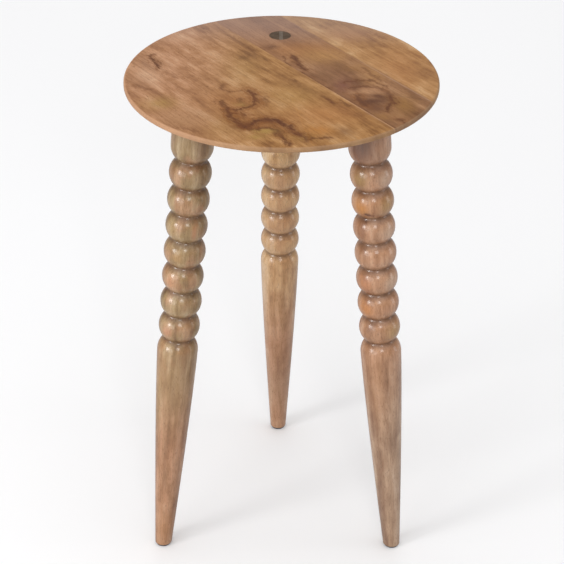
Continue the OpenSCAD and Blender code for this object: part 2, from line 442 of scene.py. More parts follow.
FRONT_STROKES = [
    (((-58, -88), (-52, -104), (-45, -118), (-34, -128)), 4.0, 0.95),
    (((-36, -126), (-28, -114), (-14, -108), (-4, -110), (6, -124), (16, -140)), 4.2, 1.0),
    (((16, -140), (26, -158)), 3.0, 0.7),
    (((-30, -132), (-18, -128), (-6, -134), (2, -150), (8, -168)), 3.2, 0.9),
    (((-66, -64), (-60, -78), (-54, -92)), 3.2, 0.75),
    (((-48, -94), (-38, -100)), 3.4, 0.6),
    (((-36, -38), (-30, -50), (-27, -62), (-32, -74), (-46, -86)), 3.4, 0.8),
    (((-64, -22), (-66, -34), (-57, -42), (-46, -38)), 2.4, 0.55),
    (((-18, -56), (-16, -74)), 2.8, 0.45), (((-44, -60), (-40, -74)), 2.6, 0.6),
    (((-148, 54), (-142, 36), (-136, 18)), 2.6, 1.0), (((-160, -26), (-146, -36)), 3.0, 0.5),
    (((-128, 10), (-119, -4)), 2.4, 0.4), (((-104, -128), (-84, -142)), 2.4, 0.4),
    (((30, -153), (52, -149)), 2.6, 0.7), (((48, -56), (57, -67)), 1.6, 0.6),
    (((62, -61), (73, -76)), 1.6, 0.6),
]
FRONT_LATE = [
    ((-17, -137), (10, 5), STRAW, 0.85), ((-27, -150), (8, 5), STRAW, 0.5),
    ((-44, -72), (7, 6), STRAW, 0.5),
]
THIRD_KNOTS = [((84, 55), (20, 15), 24), ((116, 46), (24, 12), -14)]
THIRD_SPOTS = [
    ((-50, 125), (70, 50), linear(164, 118, 84), 0.85), ((26, 74), (40, 22), APRICOT, 0.6),
    ((68, -20), (11, 22), linear(116, 66, 50), 0.8), ((48, 56), (30, 20), TAN[2], 0.95),
    ((46, 2), (22, 18), UMBER[1], 0.75), ((102, 6), (14, 26), TAN[2], 0.7),
    ((98, -63), (15, 10), linear(102, 60, 34), 0.9), ((100, -80), (13, 10), linear(108, 66, 38), 0.7),
    ((131, -70), (13, 26), linear(158, 112, 56), 0.8), ((-12, 80), (8, 8), INK, 0.6),
    ((106, -100), (12, 12), TAN[1], 0.7), ((84, 26), (16, 12), TAN[1], 0.5),
]
THIRD_STROKES = [
    (((13, 54), (18, 38), (26, 18)), 3.2, 0.95), (((22, 10), (38, -16), (52, -34)), 3.2, 0.7),
    (((1, 56), (4, 42), (8, 28)), 1.6, 0.6), (((82, -48), (84, -60), (90, -74)), 3.4, 0.7),
    (((108, -30), (118, -46), (120, -64), (112, -84)), 3.0, 0.9),
    (((74, -30), (84, -26), (97, -26), (108, -34)), 2.6, 0.8),
    (((124, -104), (131, -118)), 2.6, 0.7), (((90, 22), (100, 5), (112, -10)), 3.0, 0.5),
    (((70, -14), (84, -8), (100, -10), (114, -22)), 2.0, 0.6),
]
THIRD_LATE = [
    ((93, -37), (14, 8), linear(184, 136, 96), 0.85),
    ((97, -64), (14, 8), linear(92, 52, 26), 0.85),
]
FOURTH_SPOTS = [((130, 20), (26, 60), APRICOT, 0.5), ((80, 120), (30, 20), ROSE[1], 0.6)]
FOURTH_STROKES = [(((100, 28), (112, 8), (128, -18)), 2.0, 0.4), (((112, 116), (118, 108)), 3.0, 0.4)]
FRONT_LOOKS = {"seed": 1.7, "tones": TAN, "figure": 0.22, "knots": FRONT_KNOTS, "spots": FRONT_SPOTS,
               "strokes": FRONT_STROKES, "late_spots": FRONT_LATE}
BOARD_LOOKS = [
    {**FRONT_LOOKS, "seams": [(-70.8, 0.8, UMBER[1], 0.3, 0)]},
    {**FRONT_LOOKS, "seams": [(23.0, 1.2, BLUSH, 0.35, 40)]},
    {"seed": 7.3, "tones": UMBER, "figure": 0.35, "knots": THIRD_KNOTS, "spots": THIRD_SPOTS,
     "strokes": THIRD_STROKES, "late_spots": THIRD_LATE,
     "seams": [(25.2, 1.4, INK, 0.3, 40), (97.0, 1.2, BLUSH, 0.4, 10)]},
    {"seed": 12.9, "tones": AMBER, "figure": 0.25, "spots": FOURTH_SPOTS, "strokes": FOURTH_STROKES,
     "seams": [(99.0, 1.2, UMBER[1], 0.4, 10)]},
]


def board_material(index):
    """Wood of one board of the top, its grain along the seams: rosier towards the left, greyer towards
    the back as a painted reflection, lighter along the rim as a painted highlight that is paler
    towards the left, and with a thin painted sheen over all of it. Spots and strokes stay on its face."""
    material, wire, shader = new_material(f"mango_board_{index + 1}")
    place = wire.place()
    x, y, z = wire.parts(place)
    c, s = math.cos(BOARD_ANGLE), math.sin(BOARD_ANGLE)
    u = wire.add(wire.times(x, c), wire.times(y, s))
    v = wire.add(wire.times(x, -s), wire.times(y, c))
    rosy = wire.span(x, -130 * MM, 0.0, 0.9, 0.05, smooth=True)
    # Painted reflection: the board turns greyer towards the back.
    far = wire.span(y, 70 * MM, 160 * MM, 0.0, 0.22, smooth=True)
    # Painted highlight: the rim and its rounded upper edge are lightened, paler towards the left.
    reach = wire.math("SQRT", wire.add(wire.times(x, x), wire.times(y, y)))
    rim = wire.span(reach, TOP_R - EDGE_UPPER_R, TOP_R - 1 * MM, 0.0, 0.55)
    rim_highlight_tint = wire.mix(rosy, RIM_HIGHLIGHT_TAN, ROSE[3])
    shown = wire.span(z, TABLE_H - 12 * MM, TABLE_H - 8 * MM)
    wood(wire, shader, (u, v, z), place, other_tones=ROSE, other_share=rosy, shown=shown, streak=1.6,
         gloss=0.03, specular=0.06, overlays=((rim, rim_highlight_tint), (far, PAINTED_REFLECTION_GREY), (0.012, PAINTED_SHEEN_WHITE)),
         **BOARD_LOOKS[index])
    return material


# How strong the patches of a leg's other tones, which are those lower down, are above.
PATCHES = {"left": 0.65, "right": 0.3, "back": 0.2}
# What is seen in each leg. Spots and strokes are placed as seen from the front: sideways, and
# down the leg's axis.
LEG_LOOKS = {
    "left": {
        "seed": 21.0, "tones": OLIVE, "other_tones": ROSE,
        "spots": [
            ((-1, 350), (3, 22), UMBER[1], 0.4), ((-3, 392), (3, 30), UMBER[1], 0.5),
            ((-5, 436), (2.5, 26), UMBER[1], 0.5), ((-4, 478), (3, 18), UMBER[1], 0.45),
            # Painted highlights: the pale streak down the foot's left edge, at (-18, 360), and the pale
            # spots at the sides of the beads, at (10, 137), (-15, 137), (-8, 170), (-13, 203) and (-13,
            # 268), stand for light falling there.
            ((-18, 360), (4, 60), STRAW, 0.5), ((0, 345), (18, 50), OLIVE[1], 0.4),
            ((9, 310), (3, 16), UMBER[2], 0.5), ((10, 137), (3, 12), linear(190, 130, 88), 0.8),
            ((-15, 137), (4, 9), STRAW, 0.5), ((-8, 170), (7, 8), linear(190, 146, 92), 0.6),
            ((9, 170), (4, 12), UMBER[3], 0.6), ((-13, 203), (5, 9), linear(200, 140, 98), 0.75),
            ((5, 232), (5, 9), UMBER[2], 0.5), ((-13, 268), (6, 9), linear(194, 132, 98), 0.75),
            ((6, 300), (8, 9), UMBER[2], 0.4), ((2, 556), (16, 26), APRICOT, 0.35),
            # Painted shade: the dark spot on the collar's right side, at (12, 30), stands for the shade
            # under the top.
            ((12, 30), (8, 40), UMBER[1], 0.55),
        ],
    },
    "right": {
        "seed": 27.4, "tones": ROSE, "other_tones": TAUPE,
        "spots": [
            # Painted shadow: the dark spot on the collar's left side, at (-8, 28), stands for the top's
            # shadow on it.
            ((-8, 28), (15, 26), linear(100, 72, 58), 0.85), ((5, 334), (1.8, 26), UMBER[1], 0.75),
            # Painted highlights: the pale spots on both sides of the beads, 13 to 16 out from the middle,
            # stand for the lights on them.
            ((-3, 322), (1.4, 20), UMBER[2], 0.4), ((-13, 70), (8, 10), STRAW, 0.75),
            ((14, 72), (7, 10), TAUPE[3], 0.7), ((-14, 105), (9, 11), linear(206, 138, 62), 0.8),
            ((15, 105), (8, 11), STRAW, 0.7), ((-15, 203), (8, 11), linear(210, 142, 96), 0.6),
            ((15, 203), (8, 10), TAUPE[3], 0.7), ((15, 138), (8, 10), TAUPE[3], 0.6),
            ((-15, 235), (8, 10), linear(208, 136, 70), 0.7), ((16, 268), (8, 10), STRAW, 0.7),
            ((-4, 452), (3, 16), UMBER[1], 0.45), ((-8, 350), (9, 50), APRICOT, 0.3),
        ],
        "strokes": [(((-9, 113), (-1, 114)), 1.3, 1.0), (((-11, 121), (-8, 123)), 1.5, 1.0)],
    },
    "back": {
        "seed": 33.1, "tones": HONEY, "other_tones": ROSE,
        "spots": [
            # Painted highlight: the pale spot at (-13, 105), on the left side of a bead.
            ((-13, 105), (5, 9), linear(202, 144, 116), 0.7), ((-15, 170), (5, 10), UMBER[2], 0.4),
            ((0, 172), (16, 26), ROSE[2], 0.5), ((-2, 240), (26, 56), ROSE[2], 0.6),
            ((6, 356), (2.5, 28), UMBER[1], 0.3), ((-6, 400), (2.5, 44), UMBER[1], 0.3),
            ((0, 500), (16, 40), TAUPE[1], 0.4),
        ],
    },
}


def leg_material(name):
    """Wood of one turned leg, its grain along the leg's axis, its colour changing down the leg."""
    material, wire, shader = new_material(f"mango_{name}_leg")
    place = wire.place()
    facing = Matrix.Rotation(AZIMUTH[name] + math.pi, 4, "Z")
    home = (leg_matrix(name) @ facing).inverted()
    local = wire.put("ShaderNodeMapping", {"Vector": place, "Location": home.translation,
                                           "Rotation": home.to_euler()}).outputs[0]
    x, y, z = wire.parts(local)
    seed = LEG_LOOKS[name]["seed"]
    patches = wire.noise(wire.vector(wire.times(x, 40.0), wire.add(wire.times(y, 40.0), seed),
                                     wire.times(z, 22.0)), 1.0, 3.0, 0.6)
    low_down = wire.span(z, 240 * MM, 440 * MM, smooth=True)
    share = wire.math("MAXIMUM", low_down, wire.span(patches, 0.46, 0.60, 0.0, PATCHES[name]))
    # Painted shade: the grooves between the beads, where the leg is thinner than the beads' crests, are
    # darkened down to the foot.
    reach = wire.math("SQRT", wire.add(wire.times(x, x), wire.times(y, y)))
    above_foot = wire.span(z, BEADS_END, BEADS_END + 6 * MM, 1.0, 0.0)
    groove_shade = wire.times(wire.span(reach, LEG_R - 6.5 * MM, LEG_R - 2.0 * MM, 0.65, 0.0), above_foot)
    # A thin white wash over the whole leg is a painted sheen.
    wood(wire, shader, (z, x, y), wire.vector(x, z, 0.0), other_share=share, ring_scale=36.0,
         wander_by=16 * MM, figure=0.28, crowd=2.5, sway_by=5.0, streak=2.0, gloss=0.7,
         gloss_rough=0.18, rough=0.38, overlays=((groove_shade, PORE_AND_GROOVE_SHADE_BROWN), (0.014, PAINTED_SHEEN_WHITE)),
         **LEG_LOOKS[name])
    return material


# ---------- metal and felt ----------

def steel_material(name, base, rough, worn=linear(226, 224, 220)):
    """Metal with fine brushing, faint stains and paler worn edges."""
    material, wire, shader = new_material(name)
    place = wire.place()
    x, y, z = wire.parts(place)
    brushed = wire.noise(wire.vector(wire.times(x, 90.0), wire.times(y, 2400.0), wire.times(z, 2400.0)),
                         1.0, 2.0, 0.5)
    stain = wire.noise(place, 140.0, 4.0, 0.6)
    stained = tuple(0.7 * part for part in base[:3]) + (1.0,)
    colour = wire.mix(wire.span(stain, 0.4, 0.7), base, stained)
    colour = wire.mix(wire.worn_edge(0.85), colour, worn)
    wire.feed(shader.inputs["Base Color"], colour)
    wire.feed(shader.inputs["Roughness"], wire.add(rough, wire.times(stain, 0.18), wire.times(brushed, 0.1)))
    wire.feed(shader.inputs["Normal"], wire.bump(brushed, 0.03 * MM))
    shader.inputs["Metallic"].default_value = 1.0
    return material


def painted_material():
    """Satin black paint on steel: orange-peel ripple, faint dust, and bare metal at worn edges."""
    material, wire, shader = new_material("black_painted_steel")
    place = wire.place()
    peel = wire.noise(place, 900.0, 2.0, 0.5)
    dust = wire.noise(place, 130.0, 5.0, 0.65)
    colour = wire.mix(wire.span(dust, 0.45, 0.8, 0.0, 0.5), linear(34, 34, 35), linear(74, 72, 69))
    bare = wire.times(wire.worn_edge(0.80), wire.span(dust, 0.48, 0.56))
    wire.feed(shader.inputs["Base Color"], wire.mix(bare, colour, linear(168, 166, 160)))
    wire.feed(shader.inputs["Metallic"], bare)
    wire.feed(shader.inputs["Roughness"], wire.add(0.36, wire.times(dust, 0.2)))
    wire.feed(shader.inputs["Normal"], wire.bump(peel, 0.04 * MM))
    return material


def felt_material():
    """Dense grey felt with short crossed fibres."""
    material, wire, shader = new_material("grey_felt")
    place = wire.place()
    fuzz = wire.noise(place, 1600.0, 4.0, 0.7)
    clumps = wire.noise(place, 260.0, 3.0, 0.6)
    tone = wire.add(wire.times(fuzz, 0.6), wire.times(clumps, 0.4))
    colour = wire.ramp(tone, [(0.3, linear(44, 44, 46)), (0.7, linear(84, 84, 88))])
    wire.feed(shader.inputs["Base Color"], colour)
    wire.feed(shader.inputs["Roughness"], wire.span(fuzz, 0.0, 1.0, 0.85, 1.0))
    wire.feed(shader.inputs["Normal"], wire.bump(fuzz, 0.2 * MM, 0.9))
    shader.inputs["Sheen Weight"].default_value = 0.4
    return material


# ---------- building meshes ----------

def loose_object(name, bm):
    """A mesh object from bm, as it is or for combine()."""
    bmesh.ops.recalc_face_normals(bm, faces=bm.faces)
    mesh = bpy.data.meshes.new(name)
    bm.to_mesh(mesh)
    bm.free()
    thing = bpy.data.objects.new(name, mesh)
    bpy.context.scene.collection.objects.link(thing)
    return thing


def smooth(mesh, angle):
    """Shades a mesh smooth, except across edges sharper than the angle."""
    mesh.shade_smooth()
    mesh.set_sharp_from_angle(angle=math.radians(angle))


def new_piece(name, bm, material, angle=35.0):
    """A finished mesh object from bm."""
    piece = loose_object(name, bm)
    smooth(piece.data, angle)
    piece.data.materials.append(material)
    return piece


def lathe(bm, outline, steps):
    """Turns an outline of (radius, height) points round Z. A radius of 0 makes a single point."""
    rings = []
    for radius, height in outline:
        if radius == 0:
            rings.append([bm.verts.new((0, 0, height))])
            continue
        rings.append([bm.verts.new((radius * math.cos(2 * math.pi * k / steps),
                                    radius * math.sin(2 * math.pi * k / steps), height))
                      for k in range(steps)])
    join_rings(bm, rings, steps)


def join_rings(bm, rings, steps):
    """Faces between rings of points, one ring after another, and over an end that isn't a point."""
    for one, other in zip(rings, rings[1:]):
        for k in range(steps):
            after = (k + 1) % steps
            if len(one) == 1:
                bm.faces.new((one[0], other[after], other[k]))
            elif len(other) == 1:
                bm.faces.new((one[k], one[after], other[0]))
            else:
                bm.faces.new((one[k], one[after], other[after], other[k]))
    for ring in (rings[0], rings[-1]):
        if len(ring) > 1:
            bm.faces.new(ring)


def arc(centre, radius, start, end, steps):
    """Points of an arc about centre, angles in degrees, as (radius, height)."""
    angles = [math.radians(start + (end - start) * k / steps) for k in range(steps + 1)]
    return [(centre[0] + radius * math.cos(a), centre[1] + radius * math.sin(a)) for a in angles]


def combine(piece, others, operation):
    """Joins the others' shapes to a piece or takes them out of it, and removes them."""
    for other in others:
        modifier = piece.modifiers.new("combine", "BOOLEAN")
        modifier.operation = operation
        modifier.solver = "EXACT"
        modifier.object = other
    graph = bpy.context.evaluated_depsgraph_get()
    done = bpy.data.meshes.new_from_object(piece.evaluated_get(graph))
    piece.modifiers.clear()
    old = piece.data
    piece.data = done
    bpy.data.meshes.remove(old)
    for other in others:
        drop(other)


def drop(thing):
    """Removes a scratch object and its mesh."""
    mesh = thing.data
    bpy.data.objects.remove(thing)
    bpy.data.meshes.remove(mesh)


def drum(name, radius, low, high, matrix=None, steps=48):
    """A plain round cutter for combine()."""
    bm = bmesh.new()
    lathe(bm, [(radius, low), (radius, high)], steps)
    if matrix is not None:
        bmesh.ops.transform(bm, matrix=matrix, verts=bm.verts)
    return loose_object(name, bm)


def cut_plane(bm, point, keep):
    """Cuts bm with a plane, keeps the side that keep points to, and closes it. Returns the new edges."""
    geometry = bm.verts[:] + bm.edges[:] + bm.faces[:]
    found = bmesh.ops.bisect_plane(bm, geom=geometry, dist=1e-7, plane_co=point,
                                   plane_no=keep, clear_inner=True)
    edges = [item for item in found["geom_cut"] if isinstance(item, bmesh.types.BMEdge)]
    bmesh.ops.contextual_create(bm, geom=edges)
    return edges


CORNERS = ((-1, -1), (1, -1), (1, 1), (-1, 1))


def close_prism(bm, low, high):
    """Faces of a closed prism between two loops of corners."""
    bm.faces.new(low[::-1])
    bm.faces.new(high)
    for k in range(len(low)):
        after = (k + 1) % len(low)
        bm.faces.new((low[k], low[after], high[after], high[k]))


# ---------- a leg's own frame ----------

def leg_matrix(name):
    """The leg's own frame in the row frame: +Z runs down its axis from the underside of the top."""
    joint = JOINTS[f"{name}_leg_turn"]
    down = Vector(joint["axis"]).normalized()
    inward = Vector((-joint["pos_m"][0], -joint["pos_m"][1], 0)).normalized()
    across = down.cross(inward).normalized()
    inward = across.cross(down)
    turn = Matrix((inward, across, down)).transposed()
    return Matrix.Translation(joint["pos_m"]) @ turn.to_4x4()


AZIMUTH = {name: math.atan2(*leg_matrix(name).translation.yx) for name in LEGS}


# ---------- the top ----------

def top_outline():
    """Half outline of the top from its underside's centre round the rim to its upper edge."""
    low = (TOP_R - EDGE_LOWER_R, TABLE_H - RIM_T + EDGE_LOWER_R)
    high = (TOP_R - EDGE_UPPER_R, TABLE_H - EDGE_UPPER_R)
    bevel_in = (TOP_R - BEVEL_W, UNDER_Z)
    run, rise = low[0] - bevel_in[0], low[1] - bevel_in[1]
    bevel = math.degrees(math.atan2(rise, run) - math.asin(EDGE_LOWER_R / math.hypot(run, rise)))
    return ([(0, UNDER_Z), bevel_in] + arc(low, EDGE_LOWER_R, bevel - 90, 0, 6)
            + arc(high, EDGE_UPPER_R, 0, 90, 8) + [(0, TABLE_H)])


def build_board(index, material):
    """One board: the whole top, cut along its two seams, with every pocket it holds."""
    bm = bmesh.new()
    lathe(bm, top_outline(), TOP_STEPS)
    across = Vector((-math.sin(BOARD_ANGLE), math.cos(BOARD_ANGLE), 0))
    edges = [None, *SEAMS, None]
    for seam, keep in ((edges[index], 1), (edges[index + 1], -1)):
        if seam is not None:
            cut_edges = cut_plane(bm, across * seam, across * keep)
            upper = [e for e in cut_edges if all(v.co.z > TABLE_H - 1e-6 for v in e.verts)]
            bmesh.ops.bevel(bm, geom=upper, offset=SEAM_EASE, segments=1, affect="EDGES")
    piece = new_piece(f"board_{index + 1}", bm, material)
    holes = []
    if BOARDS[index] == INSET_BOARD:
        centre = (INSET_LOW + INSET_HIGH) / 2
        matrix = Matrix.Translation((centre.x, centre.y, INSET_LOW.z))
        deep = INSET_HIGH.z - INSET_LOW.z
        radius = (INSET_HIGH.x - INSET_LOW.x) / 2
        holes.append(drum("recess", radius, 0, deep + PAST, matrix, INSET_STEPS))
    for name in LEGS:
        holes.append(drum("pocket", BOSS_R + POCKET_GAP, BOSS_TOP_S - POCKET_GAP, PAST, leg_matrix(name)))
    combine(piece, holes, "DIFFERENCE")
    smooth(piece.data, 35.0)
    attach(piece, "table")
    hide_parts(BOARDS[index])


# ---------- legs ----------

def leg_outline(floor_s):
    """Half outline down a leg's axis: collar, beads, shoulder and the long taper of the foot."""
    edge_in = LEG_R - COLLAR_EDGE_R
    points = [(0, LEG_TOP_S), (edge_in, LEG_TOP_S)]
    points += arc((edge_in, LEG_TOP_S + COLLAR_EDGE_R), COLLAR_EDGE_R, -60, 0, 3)
    collar_s = COLLAR_LEN - BEAD_PITCH / 2
    points.append((LEG_R, (LEG_TOP_S + collar_s) / 2))
    half = math.degrees(math.asin((BEAD_PITCH / 2 - GROOVE_HALF) / BEAD_ARC_R))
    for bead in range(BEADS + 2):
        start = 0 if bead == 0 else -half
        end = 0 if bead == BEADS + 1 else half
        middle = collar_s + bead * BEAD_PITCH
        points += arc((BEAD_ARC_OFF, middle), BEAD_ARC_R, start, end, 12 if start and end else 7)
    shoulder_s = collar_s + (BEADS + 1) * BEAD_PITCH
    foot_len = floor_s + FOOT_SPARE - shoulder_s
    for k in range(1, TAPER_STEPS + 1):
        share = k / TAPER_STEPS
        points.append((LEG_R - (LEG_R - FOOT_R) * share ** TAPER_BEND, shoulder_s + foot_len * share))
    points.append((0, floor_s + FOOT_SPARE))
    return points


def build_leg(name, material):
    """One turned leg, made a little long, cut level at its foot and bored for its bolt."""
    matrix = leg_matrix(name)
    floor_s = -matrix.translation.z / matrix.col[2].z
    bm = bmesh.new()
    lathe(bm, leg_outline(floor_s), LEG_STEPS)
    level = matrix.inverted() @ Vector((0, 0, PAD_T))
    up = matrix.inverted().to_3x3() @ Vector((0, 0, 1))
    cut_plane(bm, level, up)
    piece = new_piece(f"{name}_turned_leg", bm, material)
    combine(piece, [drum("bore", BORE_R, 0, BOLT_END_S + 1 * MM)], "DIFFERENCE")
    smooth(piece.data, 50.0)
    piece.data.transform(matrix)
    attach(piece, f"{name}_leg_assembly")
    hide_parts(f"{name}_leg")


# ---------- hardware ----------

def helix(bm, rows, pitch, depth, steps):
    """A turned and threaded rod. rows are (radius, height, threaded); threads go in by depth."""
    rings = []
    for radius, height, threaded in rows:
        if radius == 0:
            rings.append([bm.verts.new((0, 0, height))])
            continue
        ring = []
        for k in range(steps):
            phase = (height / pitch - k / steps) % 1.0
            crest = 1 - abs(2 * phase - 1)
            at = radius - depth * (1 - crest) if threaded else radius
            angle = 2 * math.pi * k / steps
            ring.append(bm.verts.new((at * math.cos(angle), at * math.sin(angle), height)))
        rings.append(ring)
    join_rings(bm, rings, steps)


def thread_rows(start, end, radius, pitch, rows_per_turn=8):
    """Rows of (radius, height, True) from start to end, close enough to carry the thread."""
    count = max(2, round((end - start) / pitch * rows_per_turn))
    return [(radius, start + (end - start) * k / count, True) for k in range(count + 1)]


def plate_bm():
    """The flat of a leg plate: a square with round corners and eased edges, hung under Z 0."""
    bm = bmesh.new()
    inner = PLATE_W / 2 - PLATE_CORNER_R
    thick = UNDER_Z - PLATE_Z
    outline = []
    for quarter, (x, y) in enumerate(((1, 1), (-1, 1), (-1, -1), (1, -1))):
        outline += arc((x * inner, y * inner), PLATE_CORNER_R, 90 * quarter, 90 * quarter + 90, 8)
    face = bm.faces.new([bm.verts.new((x, y, -thick)) for x, y in outline])
    grown = bmesh.ops.extrude_face_region(bm, geom=[face])
    bmesh.ops.translate(bm, vec=(0, 0, thick),
                        verts=[v for v in grown["geom"] if isinstance(v, bmesh.types.BMVert)])
    rim = [e for e in bm.edges if all(abs(v.co.z + thick) < 1e-7 for v in e.verts)]
    bmesh.ops.bevel(bm, geom=rim, offset=PLATE_EASE, segments=3, affect="EDGES", profile=0.5)
    return bm


def screw_cutter(place):
    """What a screw and its countersunk head take out of a leg plate."""
    bm = bmesh.new()
    lathe(bm, [(SCREW_HEAD_R + SCREW_GAP, -PAST), (SCREW_HEAD_R + SCREW_GAP, SINK_EDGE),
               (SCREW_R + SCREW_GAP, SCREW_HEAD_H), (SCREW_R + SCREW_GAP, SCREW_HEAD_H + PAST)], 40)
    bmesh.ops.transform(bm, matrix=place, verts=bm.verts)
    return loose_object("screw_hole", bm)


def build_plate(name, material):
    """Leg plate: the flat, the angled seat under it and the threaded boss let into the top."""
    matrix = leg_matrix(name)
    upright = Matrix.Translation(matrix.translation) @ Matrix.Rotation(AZIMUTH[name], 4, "Z")
    piece = new_piece(f"{name}_mounting_plate", plate_bm(), material, 30.0)
    piece.data.transform(upright)

    bm = bmesh.new()
    edge = arc((SEAT_R - SEAT_EDGE_R, LEG_TOP_S - SEAT_EDGE_R), SEAT_EDGE_R, 0, 90, 4)
    lathe(bm, [(SEAT_R, -PAST)] + edge, 96)
    bmesh.ops.transform(bm, matrix=matrix, verts=bm.verts)
    cut_plane(bm, Vector((0, 0, (UNDER_Z + PLATE_Z) / 2)), Vector((0, 0, -1)))
    seat = loose_object("seat", bm)
    bm = bmesh.new()
    lathe(bm, [(BOSS_R - BOSS_EASE, BOSS_TOP_S), (BOSS_R, BOSS_TOP_S + BOSS_EASE), (BOSS_R, 1.2 * MM)], 48)
    bmesh.ops.transform(bm, matrix=matrix, verts=bm.verts)
    combine(piece, [seat, loose_object("boss", bm)], "UNION")
    holes = [drum("bore", BORE_R, BOSS_TOP_S - MM, LEG_TOP_S + MM, matrix)]
    holes += [screw_cutter(place) for place in screw_places(name)]
    combine(piece, holes, "DIFFERENCE")
    smooth(piece.data, 30.0)
    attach(piece, "table")
    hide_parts(f"{name}_leg_plate")


def screw_places(name):
    """Where the four screws of a leg plate stand, head down, as matrices with +Z up the shank."""
    upright = Matrix.Translation((*leg_matrix(name).translation.xy, PLATE_Z))
    upright = upright @ Matrix.Rotation(AZIMUTH[name], 4, "Z")
    return [upright @ Matrix.Translation((x * SCREW_OFFSET, y * SCREW_OFFSET, 0))
            for x in (-1, 1) for y in (-1, 1)]


def slot_cutter(quarter):
    """One arm of the cross in a screw's head, narrower and shorter at its floor."""
    bm = bmesh.new()
    half, wide, deep = SCREW_HEAD_R * 0.62, 0.42 * MM, 1.1 * MM
    low = [bm.verts.new((x * half, y * wide, -0.5 * MM)) for x, y in CORNERS]
    high = [bm.verts.new((x * half * 0.55, y * wide * 0.8, deep)) for x, y in CORNERS]
    close_prism(bm, low, high)
    turn = Matrix.Rotation(math.radians(quarter), 4, "Z")
    bmesh.ops.transform(bm, matrix=turn, verts=bm.verts)
    return loose_object("arm", bm)


def build_screws(name, material):
    """Four countersunk cross-slotted wood screws, each turned home to its own angle."""
    rng = random.Random(f"{name} screws")
    thread_end = SCREW_LEN - SCREW_TIP
    rows = [(0, 0, False), (SCREW_HEAD_R - 0.25 * MM, 0, False), (SCREW_HEAD_R, 0.22 * MM, False),
            (SCREW_R, SCREW_HEAD_H, False)]
    rows += thread_rows(SCREW_HEAD_H + 1.2 * MM, thread_end, SCREW_R, SCREW_PITCH)
    rows += [(SCREW_R * (1 - k / 6), SCREW_LEN - SCREW_TIP * (1 - k / 6), True) for k in range(1, 6)]
    rows += [(0, SCREW_LEN, False)]
    whole = bmesh.new()
    for place in screw_places(name):
        bm = bmesh.new()
        helix(bm, rows, SCREW_PITCH, SCREW_THREAD, SCREW_STEPS)
        screw = loose_object("screw", bm)
        combine(screw, [slot_cutter(0), slot_cutter(90)], "DIFFERENCE")
        screw.data.transform(place @ Matrix.Rotation(rng.uniform(0, math.pi / 2), 4, "Z"))
        whole.from_mesh(screw.data)
        drop(screw)
    piece = new_piece(f"{name}_fixing_screws", whole, material, 32.0)
    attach(piece, "table")
    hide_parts(f"{name}_plate_screws")


def build_bolt(name, material):
    """Hanger bolt: machine thread above the leg's end, coarse wood thread inside the leg."""
    bm = bmesh.new()
    ease = 0.7 * MM
    neck_end = LEG_TOP_S + 3 * MM
    rows = [(0, BOLT_TOP_S, False), (BOLT_R - ease, BOLT_TOP_S, False)]
    rows += thread_rows(BOLT_TOP_S + ease, LEG_TOP_S - 0.5 * MM, BOLT_R, BOLT_PITCH)
    rows += [(BOLT_NECK_R, LEG_TOP_S, False), (BOLT_NECK_R, neck_end, False)]
    helix(bm, rows, BOLT_PITCH, BOLT_THREAD, BOLT_STEPS)
    rows = [(BOLT_NECK_R, neck_end, False)]
    rows += thread_rows(neck_end + 1 * MM, BOLT_TAPER_S, BOLT_R, WOOD_PITCH, 10)
    taper = BOLT_END_S - BOLT_TAPER_S
    rows += [(BOLT_R * (1 - k / 8), BOLT_TAPER_S + taper * k / 8, True) for k in range(1, 8)]
    rows += [(0, BOLT_END_S, False)]
    helix(bm, rows, WOOD_PITCH, WOOD_THREAD, BOLT_STEPS)
    bmesh.ops.remove_doubles(bm, verts=bm.verts, dist=1e-6)
    piece = new_piece(f"{name}_threaded_bolt", bm, material, 40.0)
    piece.data.transform(leg_matrix(name))
    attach(piece, f"{name}_bolt")
    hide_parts(f"{name}_hanger_bolt")


def build_pad(name, material):
    """Felt pad under a foot: a soft-edged disc whose rim is a little uneven."""
    rng = random.Random(f"{name} pad")
    low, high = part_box(f"{name}_foot_pad")
    bm = bmesh.new()
    soft, crisp = 0.6 * MM, 0.3 * MM
    outline = ([(0, 0), (PAD_R * 0.5, 0)] + arc((PAD_R - soft, soft), soft, -90, 0, 4)
               + arc((PAD_R - crisp, PAD_T - crisp), crisp, 0, 90, 3) + [(0, PAD_T)])
    lathe(bm, outline, 72)
    for vert in bm.verts:
        if 0 < vert.co.z < PAD_T and vert.co.xy.length > PAD_R * 0.8:
            vert.co.xy *= 1 - rng.uniform(0, 0.012)
    centre = (low + high) / 2
    piece = new_piece(f"{name}_felt_pad", bm, material, 80.0)
    piece.data.transform(Matrix.Translation((centre.x, centre.y, 0)))
    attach(piece, f"{name}_leg_assembly")
    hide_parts(f"{name}_foot_pad")


